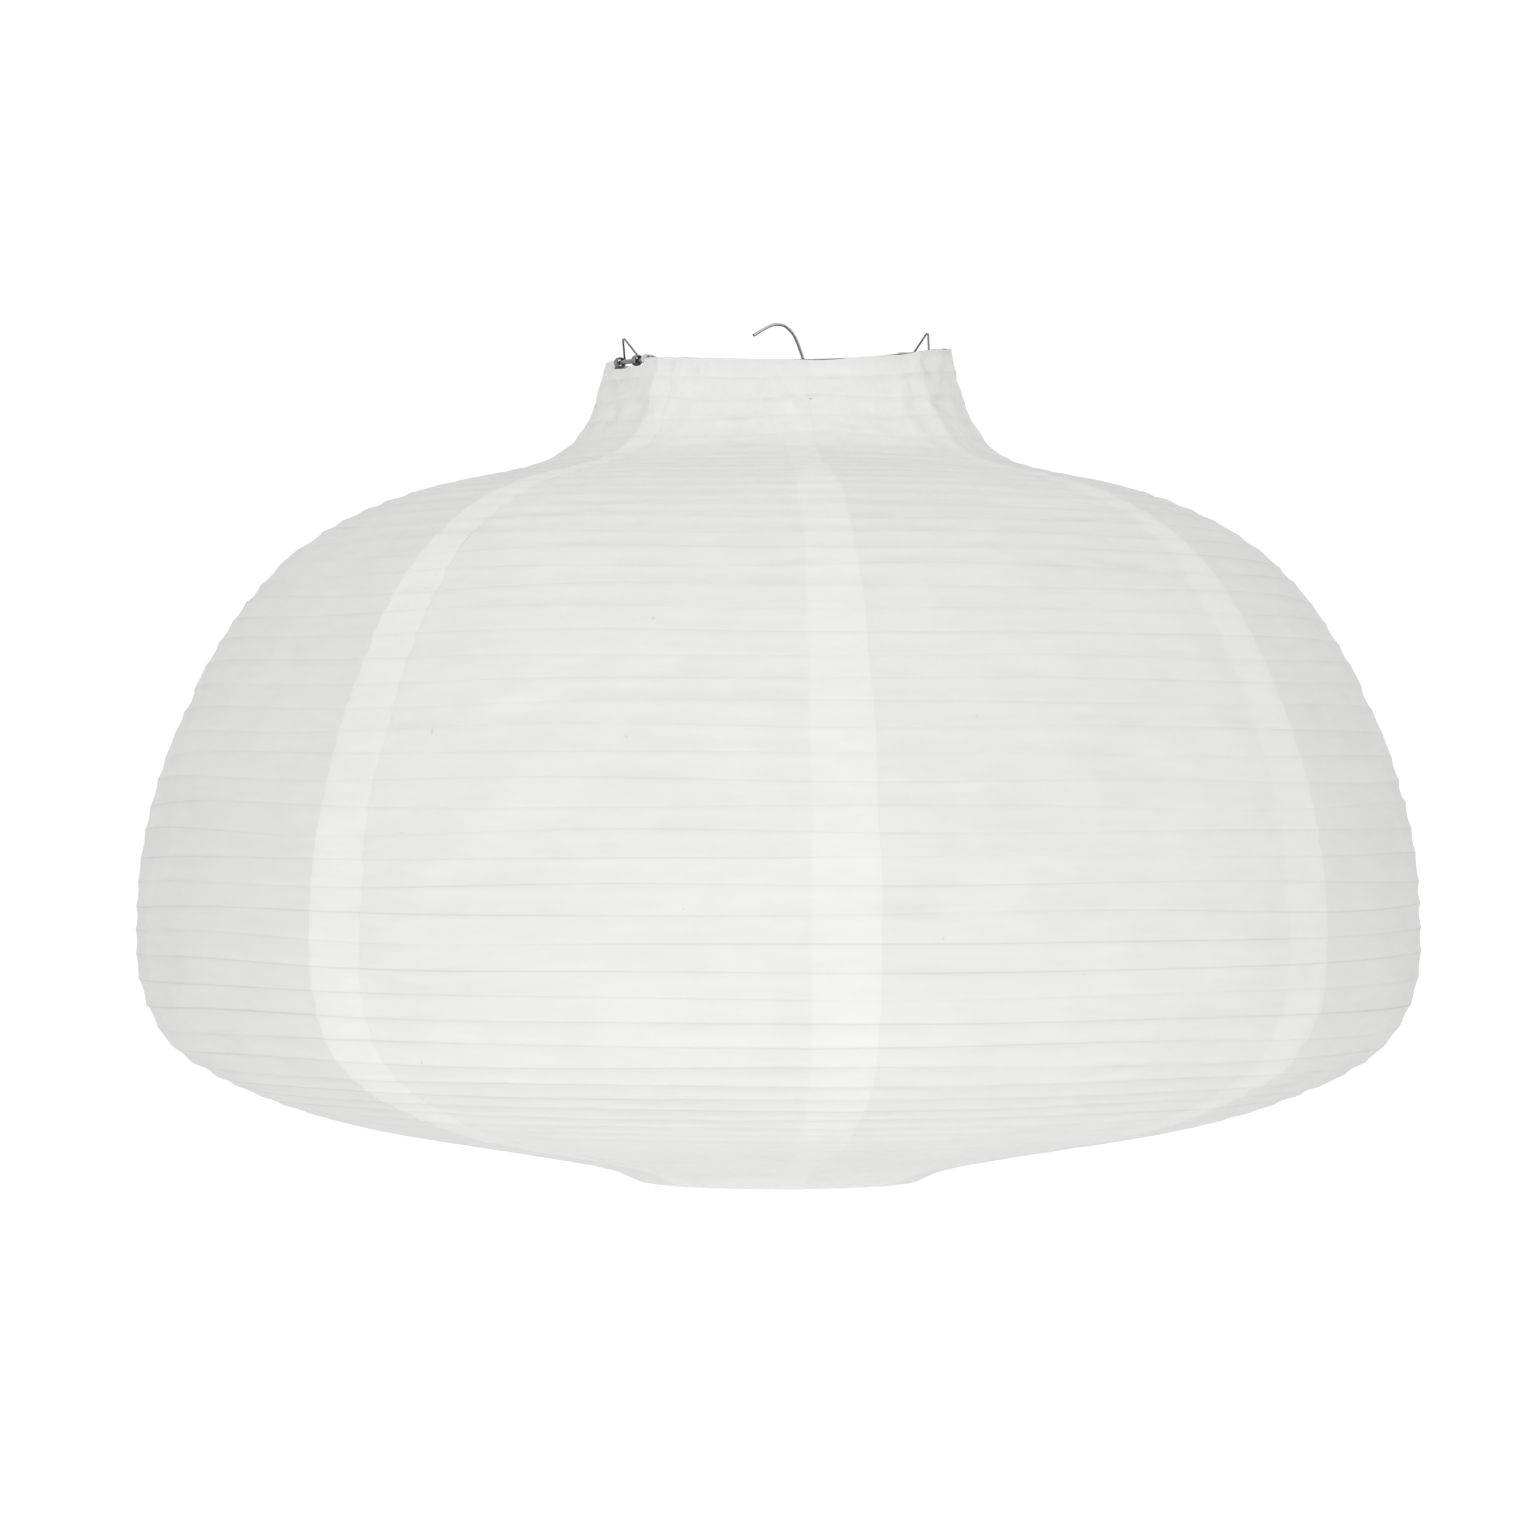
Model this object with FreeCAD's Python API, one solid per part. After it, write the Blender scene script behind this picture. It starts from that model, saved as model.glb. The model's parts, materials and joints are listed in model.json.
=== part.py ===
"""Accordion paper lantern: a pleated paper shade on wire hoops, held open by a sprung steel wire frame.

Row frame in millimetres: +Z is up, the origin is the inside of the hanging hook's crown, on the shade's axis.
The frame's two arms and legs lie in the XZ plane. The two wire ears on the top ring stand a little to one side of them.
Each subcomponent is written as one STEP file named after its node.
"""

import FreeCAD, Part

import math
import os

# ---------------------------------------------------------------- driving dimensions (mm)
RIM_Z = -14.5                 # plane of the top ring, below the inside of the hook's crown
TOP_RING_RADIUS = 75.5        # centreline of the top ring
BOTTOM_RING_RADIUS = 66.0     # centreline of the bottom ring
BOTTOM_RING_DEPTH = 359.0     # bottom ring below the top ring
TOP_RING_TILT_DEG = 3.2       # the top ring hangs a little askew, higher at +X
RING_WIRE_RADIUS = 1.0

# The shade's outer surface as (radius, depth under the top ring), from rim to bottom hem.
PROFILE = (
    (77.3, -1.0), (80.5, 13.0), (85.5, 27.5), (95.0, 40.5), (117.5, 50.5), (160.0, 60.0),
    (193.0, 73.0), (219.0, 90.5), (242.0, 117.0), (265.0, 160.0), (280.0, 204.0),
    (285.3, 248.0), (280.5, 288.5), (266.5, 308.5), (246.0, 321.0), (215.0, 333.5), (180.0, 342.5),
    (128.0, 351.5), (104.0, 355.7), (81.0, 360.2), (70.5, 363.2), (62.5, 367.0),
)
GORES = 8                     # paper sectors round the shade
PAPER = 0.3                   # thickness of the paper wall, glued laps taken in
GORE_GAP_DEG = 0.06           # between neighbouring gores
HOOP_PITCH = 11.0             # along the paper, from hoop to hoop
FIRST_HOOP = 10.0             # along the paper, from the rim to the first hoop
LAST_HOOP = 9.0               # least paper left under the last hoop
HOOP_WIRE_RADIUS = 0.4
PAPER_CLEARANCE = 0.3         # paper to hoop, ring and foot
GROUP_DROP = 9.0              # hoops whose total drop stays under this share one node
GROUP_MOST = 4

FRAME_WIRE_RADIUS = 0.7
LEG_RADIUS = 60.0             # legs stand this far from the axis
ARM_Z = -13.0                 # arms at the stem, under the top ring
STEM_X = 15.5                 # the stem stands to one side, so that the crown is on the axis
STEM_COIL_PITCH = 1.5         # the plain wire's coil round the stem
STEM_COIL_TURNS = 2.25
WRAP_PITCH = 1.5              # each frame wire's wrap round the top ring
WRAP_TURNS = 1.5
WIRE_FIT = 0.06               # between a frame wire and what it is wound on or passes under
FRAME_BEND = 3.0              # bend radius of the frame's corners
CORNERS_PER_TURN = 8          # a coil is bent as this many tangent arcs

EAR_WIRE_RADIUS = 0.45
EAR_HEIGHT = 10.4             # apex above the top ring
EAR_COIL_RADIUS = 1.95        # centreline of the coiled feet
EAR_COIL_PITCH = 0.98
EAR_COIL_TURNS = 3.0
EAR_HALF_BASE = 7.0           # from the middle to the start of each coiled foot
EAR_TURN_DEG = -12.0          # ears and gores are turned this far about the axis from the frame
EAR_LEAN_DEG = 8.0            # outward lean of the loops at rest
NOTCH_HALF_WIDTH = 11.5       # cut in the paper's rim at each ear
WRAP_NOTCH_REACH = 18.6       # the cut runs on this far to clear the frame wire's wrap
NOTCH_DEPTH = 7.8            # under the level of the rim, so that it clears the low side of the tilted ring

V = FreeCAD.Vector
AXIS = V(0, 0, 1)


# ---------------------------------------------------------------- helpers
def save(shape, node):
    """Writes one node as a STEP file."""
    if not shape.isValid():
        raise ValueError(node + " is not a valid shape")
    shape.exportStep("parts/" + node + ".step")
    print(node, len(shape.Solids), round(shape.Volume, 1))


def hoop(radius, z, wire_radius):
    """A closed ring of round wire about the shade's axis."""
    return Part.makeTorus(radius, wire_radius, V(0, 0, z), AXIS)


def bent_path(corners):
    """A wire through corners given as (point, bend radius), with a tangent arc at each."""
    points = [point for point, bend in corners]
    edges = []
    last = points[0]
    for i in range(1, len(points) - 1):
        corner = points[i]
        back = points[i - 1] - corner
        ahead = points[i + 1] - corner
        turn = math.pi - back.getAngle(ahead)
        if turn < 0.01:
            continue
        reach = min(corners[i][1] * math.tan(turn / 2), 0.48 * back.Length, 0.48 * ahead.Length)
        radius = reach / math.tan(turn / 2)
        start = corner + V(back).normalize() * reach
        end = corner + V(ahead).normalize() * reach
        bisector = (V(back).normalize() + V(ahead).normalize()).normalize()
        middle = corner + bisector * (radius / math.cos(turn / 2) - radius)
        edges.append(Part.LineSegment(last, start).toShape())
        edges.append(Part.Arc(start, middle, end).toShape())
        last = end
    edges.append(Part.LineSegment(last, points[-1]).toShape())
    return Part.Wire(edges)


def bent_bar(corners, wire_radius):
    """Round wire bent along a route of corners."""
    start = corners[0][0]
    section = Part.Wire(Part.makeCircle(wire_radius, start, corners[1][0] - start))
    return bent_path(corners).makePipeShell([section], True, True)


def coil_corners(centre, u, v, radius, pitch, turns):
    """Corners of a coil that starts at centre + u * radius, turns towards v and advances along u x v."""
    count = int(round(turns * CORNERS_PER_TURN))
    step = 2 * math.pi * turns / count
    far = radius / math.cos(step / 2)
    along = u.cross(v)
    corners = []
    for i in range(count):
        angle = (i + 0.5) * step
        advance = along * (pitch * angle / (2 * math.pi))
        corners.append((centre + (u * math.cos(angle) + v * math.sin(angle)) * far + advance, radius))
    return corners


# ---------------------------------------------------------------- the shade's profile
def profile_curve():
    """The outer surface's section as a smooth curve in the XZ plane."""
    points = [V(radius, 0, RIM_Z - depth) for radius, depth in PROFILE]
    curve = Part.BSplineCurve()
    curve.interpolate(points)
    return curve


def stations(curve):
    """Rim, each hoop line and hem as points on the curve, evenly spaced along the paper."""
    length = curve.length()
    hoops = int((length - FIRST_HOOP - LAST_HOOP) // HOOP_PITCH) + 1
    marks = [0.0] + [FIRST_HOOP + HOOP_PITCH * i for i in range(hoops)] + [length]
    return [curve.value(curve.parameterAtDistance(mark, curve.FirstParameter)) for mark in marks]


def inward(points):
    """Unit normals of the folded section that point into the shade, one per point, mitred."""
    sides = []
    for a, b in zip(points, points[1:]):
        along = (b - a).normalize()
        sides.append(V(along.z, 0, -along.x))
    normals = [sides[0]]
    for a, b in zip(sides, sides[1:]):
        middle = (a + b).normalize()
        normals.append(middle * (1 / max(0.5, middle.dot(a))))
    normals.append(sides[-1])
    return normals


# ---------------------------------------------------------------- pieces
def paper_gore(points, normals, number):
    """One paper sector: the folded section turned through an eighth of a circle. Two have a cut in the rim."""
    inner = [p + n * PAPER for p, n in zip(points, normals)]
    outline = points + inner[::-1] + [points[0]]
    face = Part.Face(Part.makePolygon(outline))
    sweep = 360.0 / GORES - GORE_GAP_DEG
    face.rotate(V(0, 0, 0), AXIS, -sweep / 2)
    gore = face.revolve(V(0, 0, 0), AXIS, sweep)
    if number in (1, 1 + GORES // 2):
        corner = V(TOP_RING_RADIUS - 10, -NOTCH_HALF_WIDTH, RIM_Z - NOTCH_DEPTH)
        width = NOTCH_HALF_WIDTH + WRAP_NOTCH_REACH
        gore = gore.cut(Part.makeBox(20, width, 20, corner))
    gore.rotate(V(0, 0, 0), AXIS, EAR_TURN_DEG + (number - 1) * 360.0 / GORES)
    return gore


def hoop_groups(points, normals):
    """Groups of hoops as lists of (radius, z): one each on steep paper, a few each on flat paper."""
    offset = PAPER + PAPER_CLEARANCE + HOOP_WIRE_RADIUS
    centres = [p + n * offset for p, n in zip(points[1:-1], normals[1:-1])]
    groups = []
    for centre in centres:
        spot = (centre.x, centre.z)
        if groups and len(groups[-1]) < GROUP_MOST and groups[-1][0][1] - spot[1] < GROUP_DROP:
            groups[-1].append(spot)
        else:
            groups.append([spot])
    return groups


def tilt(shape):
    """Turns a shape at the top ring's place by the ring's tilt."""
    shape.rotate(V(0, 0, RIM_Z), V(0, 1, 0), -TOP_RING_TILT_DEG)
    return shape


def half_frame(inner, side):
    """One wire of the frame, built at +X: the corners up to the arm, the arm, the wrap, the leg and the foot."""
    reach = RING_WIRE_RADIUS + FRAME_WIRE_RADIUS + WIRE_FIT
    half = WRAP_PITCH * WRAP_TURNS / 2
    foot_z = RIM_Z - BOTTOM_RING_DEPTH - reach
    lean = math.radians(TOP_RING_TILT_DEG)
    ring_x = TOP_RING_RADIUS * math.cos(lean)
    ring_z = RIM_Z + side * TOP_RING_RADIUS * math.sin(lean)
    ring = V(ring_x, -half, ring_z)
    over = ring + V(0, 0, reach)
    under = V(ring_x, half, ring_z - reach)
    arm = [(V(TOP_RING_RADIUS - 12, -half, ring_z - 1.5), FRAME_BEND), (over - V(4, 0, 0), FRAME_BEND)]
    wrap = coil_corners(ring, V(0, 0, 1), V(1, 0, 0), reach, WRAP_PITCH, WRAP_TURNS)
    leg = [
        (under - V(4, 0, 0), FRAME_BEND),
        (V(LEG_RADIUS + 5, under.y / 2, RIM_Z - 16), FRAME_BEND),
        (V(LEG_RADIUS, 0, RIM_Z - 34), FRAME_BEND),
        (V(LEG_RADIUS, 0, foot_z), FRAME_BEND),
        (V(BOTTOM_RING_RADIUS + 0.8, 0, foot_z), FRAME_BEND),
    ]
    return bent_bar(inner + arm + wrap + leg, FRAME_WIRE_RADIUS)


def hook_frame_wire():
    """The wire with the hanging hook: hook, stem, right arm, right leg and foot."""
    hook = [
        (-14.5, 9.8), (-7.2, 13.6), (-3.2, 15.2), (0.0, 15.45), (3.6, 15.2),
        (8.6, 11.9), (11.2, 7.6), (14.4, 0.9),
    ]
    crown = -RIM_Z + FRAME_WIRE_RADIUS - 15.3
    corners = [(V(x, 0, RIM_Z + z + crown), 12.0) for x, z in hook]
    corners.append((V(STEM_X, 0, RIM_Z - 4), 12.0))
    corners.append((V(STEM_X, 0, RIM_Z + ARM_Z), FRAME_BEND))
    return half_frame(corners, 1)


def plain_frame_wire():
    """The other wire: a coil round the stem, left arm, left leg and foot. Built at +X, then turned to -X."""
    radius = 2 * FRAME_WIRE_RADIUS + WIRE_FIT
    top = V(-STEM_X, 0, RIM_Z - 5.6)
    coil = coil_corners(top, V(-1, 0, 0), V(0, -1, 0), radius, -STEM_COIL_PITCH, STEM_COIL_TURNS)
    tip = (top + V(-radius, 0, 0), 1.0)
    low = top + V(0, -radius, -STEM_COIL_PITCH * STEM_COIL_TURNS)
    wire = half_frame([tip] + coil + [(low + V(5, 0, -0.4), FRAME_BEND)], -1)
    wire.rotate(V(0, 0, 0), AXIS, 180)
    return wire


def ear(side):
    """A triangular wire loop whose two feet are coiled round the top ring. Built at +X on the ring."""
    length = EAR_COIL_PITCH * EAR_COIL_TURNS
    turn = (EAR_HALF_BASE + length / 2) / TOP_RING_RADIUS
    out = V(math.cos(turn), math.sin(turn), 0)
    tangent = V(-math.sin(turn), math.cos(turn), 0)
    up = V(0, 0, 1)
    near = out * TOP_RING_RADIUS - tangent * (length / 2)
    # From the loop's foot, the coil starts on the ring's inner side and winds down and outwards.
    foot = near - out * EAR_COIL_RADIUS
    coil = coil_corners(near, out * -1, up * -1, EAR_COIL_RADIUS, -EAR_COIL_PITCH, EAR_COIL_TURNS)
    end = near + tangent * length - out * EAR_COIL_RADIUS
    apex = V(TOP_RING_RADIUS, 0, EAR_HEIGHT - 0.4)
    rising = [(end, 1.0)] + coil[::-1] + [(foot + up * 1.7, 1.5), (apex + V(0, 0.8, 0), 1.0)]
    falling = [(V(p.x, -p.y, p.z), bend) for p, bend in rising[::-1]]
    shape = bent_bar(rising + falling, EAR_WIRE_RADIUS)
    shape.rotate(V(TOP_RING_RADIUS, 0, 0), V(0, 1, 0), EAR_LEAN_DEG)
    shape.rotate(V(0, 0, 0), AXIS, EAR_TURN_DEG + (0 if side > 0 else 180))
    shape.translate(V(0, 0, RIM_Z))
    return tilt(shape)


# ---------------------------------------------------------------- build
def main():
    """Builds and writes every node."""
    os.makedirs("parts", exist_ok=True)
    curve = profile_curve()
    points = stations(curve)
    normals = inward(points)
    for number in range(1, GORES + 1):
        save(paper_gore(points, normals, number), "paper_gore_%d" % number)
    count = 0
    for group in hoop_groups(points, normals):
        solids = [hoop(radius, z, HOOP_WIRE_RADIUS) for radius, z in group]
        first = count + 1
        count += len(group)
        node = "hoop_%02d" % first
        if len(group) > 1:
            node = "hoops_%02d_to_%02d" % (first, count)
        drop = sum(RIM_Z - z for radius, z in group) / len(group)
        print("  mean drop %.3f" % drop, [(round(radius, 1), round(z, 1)) for radius, z in group])
        save(solids[0] if len(solids) == 1 else Part.makeCompound(solids), node)
    save(tilt(hoop(TOP_RING_RADIUS, RIM_Z, RING_WIRE_RADIUS)), "top_ring")
    save(hoop(BOTTOM_RING_RADIUS, RIM_Z - BOTTOM_RING_DEPTH, RING_WIRE_RADIUS), "bottom_ring")
    save(hook_frame_wire(), "frame_wire_with_hook")
    save(plain_frame_wire(), "frame_wire_plain")
    save(ear(1), "ear_right")
    save(ear(-1), "ear_left")


main()
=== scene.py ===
"""Accordion paper lantern: pleated paper gores on wire hoops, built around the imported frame.

Metres, in the row frame: +Z up, origin at the inside of the hanging hook's crown.
"""

import json
import logging
import math
from abc import ABC, abstractmethod
from dataclasses import dataclass, field
from enum import Enum
from typing import Dict, List, Optional, Sequence, Tuple

import bmesh
import bpy
import numpy as np
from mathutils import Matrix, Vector

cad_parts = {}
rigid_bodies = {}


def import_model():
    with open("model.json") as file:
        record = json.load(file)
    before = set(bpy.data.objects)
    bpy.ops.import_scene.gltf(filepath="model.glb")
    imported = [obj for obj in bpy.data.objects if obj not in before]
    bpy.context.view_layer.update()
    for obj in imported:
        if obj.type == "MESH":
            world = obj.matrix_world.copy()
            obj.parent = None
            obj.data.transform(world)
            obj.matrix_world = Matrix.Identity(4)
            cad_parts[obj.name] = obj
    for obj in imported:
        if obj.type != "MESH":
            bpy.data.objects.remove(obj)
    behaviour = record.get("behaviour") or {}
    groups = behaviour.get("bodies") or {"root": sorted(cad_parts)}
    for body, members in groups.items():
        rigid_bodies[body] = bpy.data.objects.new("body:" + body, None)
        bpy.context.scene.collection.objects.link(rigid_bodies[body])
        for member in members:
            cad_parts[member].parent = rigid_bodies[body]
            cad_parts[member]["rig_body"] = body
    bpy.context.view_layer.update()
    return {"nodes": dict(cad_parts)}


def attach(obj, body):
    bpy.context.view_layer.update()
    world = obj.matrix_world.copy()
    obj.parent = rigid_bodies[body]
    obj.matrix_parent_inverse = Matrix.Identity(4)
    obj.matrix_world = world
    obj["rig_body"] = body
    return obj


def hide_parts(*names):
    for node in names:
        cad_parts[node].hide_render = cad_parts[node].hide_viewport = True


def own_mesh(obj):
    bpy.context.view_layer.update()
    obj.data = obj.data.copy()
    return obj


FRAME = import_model()

LOG = logging.getLogger("lantern")
MM = 0.001
Array = np.ndarray
Piece = bpy.types.Object
Socket = bpy.types.NodeSocket


def add_object(name: str, data: bpy.types.ID) -> Piece:
    """Makes an object and puts it in the scene.

    Args:
        name: the object's name.
        data: its mesh, light or camera.

    Returns:
        The new object.
    """
    made = bpy.data.objects.new(name, data)
    bpy.context.scene.collection.objects.link(made)
    return made


def shade_smooth(mesh: bpy.types.Mesh) -> None:
    """Shades every face smoothly.

    Args:
        mesh: the mesh to change.
    """
    mesh.polygons.foreach_set("use_smooth", np.ones(len(mesh.polygons), bool))


class Joint(Enum):
    """Joints of the lantern."""

    COLLAPSE = "collapse"


class Finish(Enum):
    """Material slots of the record."""

    PAPER = "rice_paper"
    HOOP = "hoop_wire"
    RING = "ring_wire"
    EAR = "ear_wire"
    FRAME = "frame_wire"


class View(Enum):
    """How the finished picture maps light to grey levels."""

    TRANSFORM = "Standard"
    LOOK = "None"


# --- sizes
@dataclass(frozen=True)
class ShadeSize:
    """Sizes of the paper shade in millimetres.

    Attributes:
        stations: outer surface as (radius, depth under the top ring), rim to hem.
        rim_z: height of the top ring's middle.
        ring_rise: the askew top ring is this much higher at +X.
        rise_reach: the neck follows the ring down to here, along the paper.
        ring_dip: how far the ring sags between the ears on one side.
        dip_deg: direction of the sag's lowest point.
        dip_narrow: how much narrower the sag is than half the ring.
        hoop_offset: hoop wire's middle behind the paper's outer side.
        group_drop: hoops whose total drop stays under this share one node.
        rim_above: rim of the paper above the ring's middle.
    """

    stations: Tuple[Tuple[float, float], ...] = (
        (77.3, -1.0), (80.5, 13.0), (85.5, 27.5), (95.0, 40.5), (117.5, 50.5), (160.0, 60.0),
        (193.0, 73.0), (219.0, 90.5), (242.0, 117.0), (265.0, 160.0), (280.0, 204.0),
        (285.3, 248.0), (280.5, 288.5), (266.5, 308.5), (246.0, 321.0), (215.0, 333.5),
        (180.0, 342.5), (128.0, 351.5), (104.0, 355.7), (81.0, 360.2), (70.5, 363.2), (62.5, 367.0),
    )
    rim_z: float = -14.5
    ring_drop: float = 359.0
    ring_travel: float = 318.0
    ring_rise: float = 4.2
    rise_reach: float = 62.0
    ring_dip: float = 5.0
    dip_deg: float = -115.0
    dip_narrow: float = 1.2
    gores: int = 8
    first_gore_deg: float = -12.0
    hoop_pitch: float = 11.0
    first_hoop: float = 10.0
    last_hoop: float = 9.0
    paper: float = 0.12
    hoop_offset: float = 1.35
    hoop_wire: float = 0.4
    group_drop: float = 9.0
    group_most: int = 4
    notch_depth: float = 3.2
    notch_near: float = 11.5
    notch_far: float = 18.6
    notch_near_slope: float = 1.4
    notch_far_slope: float = 2.5
    rim_above: float = 1.0

    @property
    def keep(self) -> float:
        """Share of its height that the shade keeps when it is folded."""
        return 1.0 - self.ring_travel / self.ring_drop

    def rim_lift(self, turn: Array, s: Array) -> Array:
        """How far the askew top ring lifts or lowers the neck.

        Args:
            turn: radians about the axis.
            s: distance along the paper from the rim, in millimetres.

        Returns:
            Lift in millimetres.
        """
        off = np.angle(np.exp(1j * (turn - math.radians(self.dip_deg))))
        dip = self.ring_dip * np.cos(np.clip(self.dip_narrow * off, -math.pi / 2, math.pi / 2)) ** 2
        return (self.ring_rise * np.cos(turn) - dip) * np.clip(1 - s / self.rise_reach, 0, 1) ** 1.5

    @property
    def anchor(self) -> Tuple[float, float, float]:
        """Point that the shade flattens towards, in metres."""
        return (0.0, 0.0, self.rim_z * MM)


@dataclass(frozen=True)
class CreaseSize:
    """How far the paper strays from a true folded surface, in millimetres.

    Attributes:
        sag: depth of the paper's belly between two hoops.
        sag_spread: share by which the sag varies.
        hoop_wander: how far a fold line strays along the paper.
        ripple: height of the fine waves.
        neck_crumple: depth of the wrinkles in the neck.
        rim_wander: unevenness of the cut rim.
        smooth_from: the paper is tight from here on, along the paper.
        calm_over: length over which it tightens.
        calm_share: share of the sag that is lost there.
    """

    sag: float = 0.7
    sag_spread: float = 0.45
    hoop_wander: float = 0.85
    ripple: float = 0.10
    neck_crumple: float = 0.7
    rim_wander: float = 0.5
    smooth_from: float = 470.0
    calm_over: float = 30.0
    calm_share: float = 0.8
    wander_pitch: float = 190.0
    wander_step: float = 0.21
    wander_rim: float = 30.0
    wander_hem: float = 20.0
    sag_step: float = 0.37
    sag_most: float = 1.2
    ripple_pitch: float = 40.0
    ripple_at_hoop: float = 0.35
    neck_end: float = 52.0
    neck_fade: float = 18.0
    neck_rim: float = 4.0
    neck_pitch: float = 46.0
    crumple_at_hoop: float = 0.05
    seed: int = 11


@dataclass(frozen=True)
class GoreToneAndShade:
    """Small differences in whiteness from gore to gore, and in the doubled paper of the neck: the gores
    facing the camera are painted lighter and the two at its edges darker, as painted light and shade; the
    others differ at random.

    Attributes:
        body: tone added to each gore, with painted light and shade.
        neck: tone added in the neck of each gore, with painted light and shade.
        neck_end: where the neck's tone has faded out, along the paper.
        neck_fade: length over which it fades.
        lap_from: where the doubled paper starts to show, over the length lap_in.
        lap_to: how far above the hem it stops, over the length lap_out.
        lap_least: how much of it shows past those ends.
    """

    body: Tuple[float, ...] = (-0.012, 0.008, 0.004, 0.006, -0.017, 0.024, 0.012, -0.018)
    neck: Tuple[float, ...] = (-0.004, 0.022, 0.020, 0.024, -0.012, 0.040, 0.040, -0.010)
    neck_end: float = 58.0
    neck_fade: float = 16.0
    lap_from: float = 40.0
    lap_in: float = 40.0
    lap_to: float = 120.0
    lap_out: float = 50.0
    lap_least: float = 0.25


@dataclass(frozen=True)
class LapSize:
    """The glued lap where a gore covers the next one, in millimetres and radians.

    Attributes:
        widest, narrowest: its width at belly_radius and at neck_radius.
        proud: how far the lap stands over the paper under it.
        glue_sink: how far its glued edge goes under, as a share of proud.
        hidden_sink: how far the next gore's hidden edge lies under.
        edge_wander: unevenness of its edge, in slow and quick waves.
        rise_angle: the gore lifts over this angle before the lap.
        glue_angle: the lap comes down over this angle at its edge.
        tuck_angle: the hidden edge goes this far under the lap.
        under_angle: the hidden edge sinks over this angle.
        crisp_angle: step from plain to doubled paper.
    """

    widest: float = 27.0
    narrowest: float = 10.0
    neck_radius: float = 77.0
    belly_radius: float = 285.0
    proud: float = 0.15
    glue_sink: float = 0.15
    hidden_sink: float = 0.16
    edge_wander: float = 0.4
    slow_gain: float = 2.0
    slow_pitch: float = 110.0
    quick_gain: float = 0.25
    quick_pitch: float = 14.0
    rise_angle: float = 0.02
    glue_angle: float = 0.006
    tuck_angle: float = math.radians(0.3)
    under_angle: float = 0.03
    crisp_angle: float = 0.0015


# --- the section curve
class ShadeProfile:
    """The shade's section as a smooth curve measured along the paper."""

    def __init__(self, size: ShadeSize) -> None:
        """Fits the curve.

        Args:
            size: the shade's sizes.
        """
        self.size = size
        knots = np.array([(r, size.rim_z - d) for r, d in size.stations])
        chord = np.concatenate([[0.0], np.cumsum(np.hypot(*np.diff(knots, axis=0).T))])
        fine = np.linspace(0.0, chord[-1], 6000)
        self._points = self._spline(chord, knots, fine)
        steps = np.hypot(*np.diff(self._points, axis=0).T)
        self._marks = np.concatenate([[0.0], np.cumsum(steps)])
        self.length = float(self._marks[-1])

    @staticmethod
    def _spline(t: Array, y: Array, x: Array) -> Array:
        """Natural cubic spline.

        Args:
            t: knots.
            y: one point per knot.
            x: where to read the spline.

        Returns:
            One point per entry of x.
        """
        n, h = len(t), np.diff(t)
        a, b = np.eye(n), np.zeros_like(y)
        for i in range(1, n - 1):
            a[i, i - 1 : i + 2] = h[i - 1], 2 * (h[i - 1] + h[i]), h[i]
            b[i] = 6 * ((y[i + 1] - y[i]) / h[i] - (y[i] - y[i - 1]) / h[i - 1])
        m = np.linalg.solve(a, b)
        k = np.clip(np.searchsorted(t, x) - 1, 0, n - 2)
        left, right, hk = (x - t[k])[:, None], (t[k + 1] - x)[:, None], h[k][:, None]
        return (
            m[k] * right**3 / (6 * hk)
            + m[k + 1] * left**3 / (6 * hk)
            + (y[k] / hk - m[k] * hk / 6) * right
            + (y[k + 1] / hk - m[k + 1] * hk / 6) * left
        )

    def at(self, s: Array) -> Array:
        """Points (radius, z) at distances s along the paper.

        Args:
            s: distances from the rim in millimetres.

        Returns:
            Array of shape (..., 2).
        """
        s = np.asarray(s, float)
        return np.stack([np.interp(s, self._marks, self._points[:, i]) for i in (0, 1)], axis=-1)

    def hoop_marks(self) -> Array:
        """Distances along the paper of every hoop line."""
        size = self.size
        count = int((self.length - size.first_hoop - size.last_hoop) // size.hoop_pitch) + 1
        return size.first_hoop + size.hoop_pitch * np.arange(count)

    def hoop_centres(self) -> List[Tuple[float, float]]:
        """(radius, z) of each hoop's wire, just inside the folded paper."""
        marks = np.concatenate([[0.0], self.hoop_marks(), [self.length]])
        points = self.at(marks)
        sides = np.diff(points, axis=0)
        sides /= np.linalg.norm(sides, axis=1)[:, None]
        normals = np.stack([sides[:, 1], -sides[:, 0]], axis=1)
        middle = normals[:-1] + normals[1:]
        middle /= np.linalg.norm(middle, axis=1)[:, None]
        centres = points[1:-1] + middle * self.size.hoop_offset
        return [(float(r), float(z)) for r, z in centres]

    def hoop_groups(self) -> List[List[Tuple[float, float]]]:
        """Hoops in the groups that share a node: one each on steep paper, a few on flat paper."""
        groups: List[List[Tuple[float, float]]] = []
        for spot in self.hoop_centres():
            last = groups[-1] if groups else None
            if last and len(last) < self.size.group_most and last[0][1] - spot[1] < self.size.group_drop:
                last.append(spot)
            else:
                groups.append([spot])
        return groups


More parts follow.
